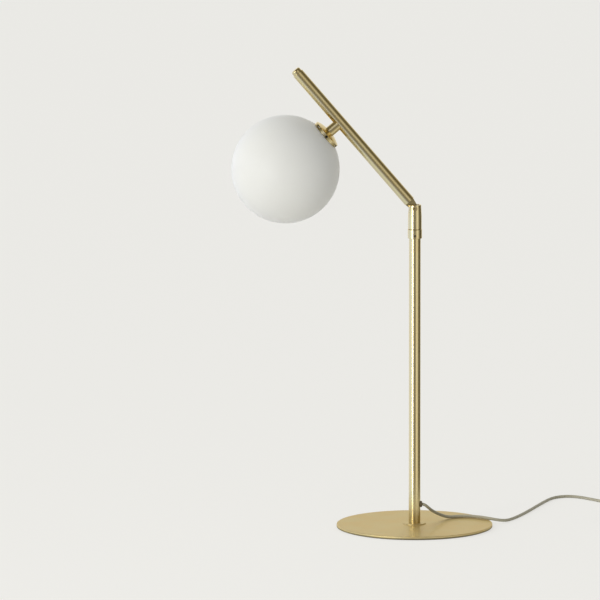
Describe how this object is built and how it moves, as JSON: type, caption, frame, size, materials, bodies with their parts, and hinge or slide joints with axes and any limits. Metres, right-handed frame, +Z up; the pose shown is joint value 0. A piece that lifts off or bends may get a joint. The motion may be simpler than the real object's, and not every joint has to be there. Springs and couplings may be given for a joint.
{
  "type": "globe table lamp",
  "caption": "Brass table lamp with a round base, slim post, slanted swivelling arm and a small opal glass globe; inline rocker switch and cord.",
  "frame": {"origin": "centre of the base's underside, on the surface the lamp stands on, on the post's axis", "axes": "+Z up along the post, -X towards the globe, +Y to the back"},
  "size_m": [0.5222, 0.2762, 0.5162],
  "materials": {
    "brass_satin": "satin",
    "opal_glass": "satin opal white",
    "felt": "matte",
    "steel": "satin",
    "rubber_seal": "matte",
    "porcelain": "matte",
    "bulb_glass": "frosted",
    "cord_plastic": "matte",
    "dark_plastic": "matte",
    "bush_plastic": "matte"
  },
  "bodies": {
    "stand": {"base_pad": "felt", "base_plate": "brass_satin", "base_screw": "steel", "foot_flange": "brass_satin", "post_plug": "steel", "post_tube": "brass_satin", "cord_gland": "dark_plastic", "post_lead": "cord_plastic", "collar_ring": "brass_satin", "collar_grub_screw": "steel", "swivel_spindle": "steel", "swivel_washer": "steel", "cord_free": "cord_plastic", "cord_link": "cord_plastic", "cord_coil": "cord_plastic", "switch_base": "dark_plastic", "switch_cover": "dark_plastic", "switch_screws": "steel", "plug_body": "dark_plastic", "plug_pins": "steel"},
    "knuckle": {"knuckle_sleeve": "brass_satin", "swivel_bush": "bush_plastic", "pivot_screw": "steel", "pivot_nut": "steel", "pivot_washers": "steel"},
    "arm": {"arm_tongue": "brass_satin", "arm_tube": "brass_satin", "arm_end_plug": "brass_satin", "stem_tube": "brass_satin", "globe_cap": "brass_satin", "cap_lock_screw": "steel", "cap_nipple": "steel", "nipple_nut": "steel", "globe_gasket": "rubber_seal", "opal_globe": "opal_glass", "lampholder": "porcelain", "bulb_body": "bulb_glass", "bulb_pins": "steel", "arm_lead": "cord_plastic"},
    "rocker": {"switch_rocker": "dark_plastic"}
  },
  "joints": [
    {"name": "column_swivel", "type": "hinge", "parent": "stand", "child": "knuckle", "pos_m": [0, 0, 0.3435], "axis": [0, 0, 1], "range_deg": [-165, 165]},
    {"name": "arm_tilt", "type": "hinge", "parent": "knuckle", "child": "arm", "pos_m": [0, 0, 0.359], "axis": [0, 1, 0], "range_deg": [-49, 40]},
    {"name": "rocker_tilt", "type": "hinge", "parent": "stand", "child": "rocker", "pos_m": [0.24, 0.045, 0.013], "axis": [1, 0, 0], "range_deg": [-16, 0]}
  ]
}
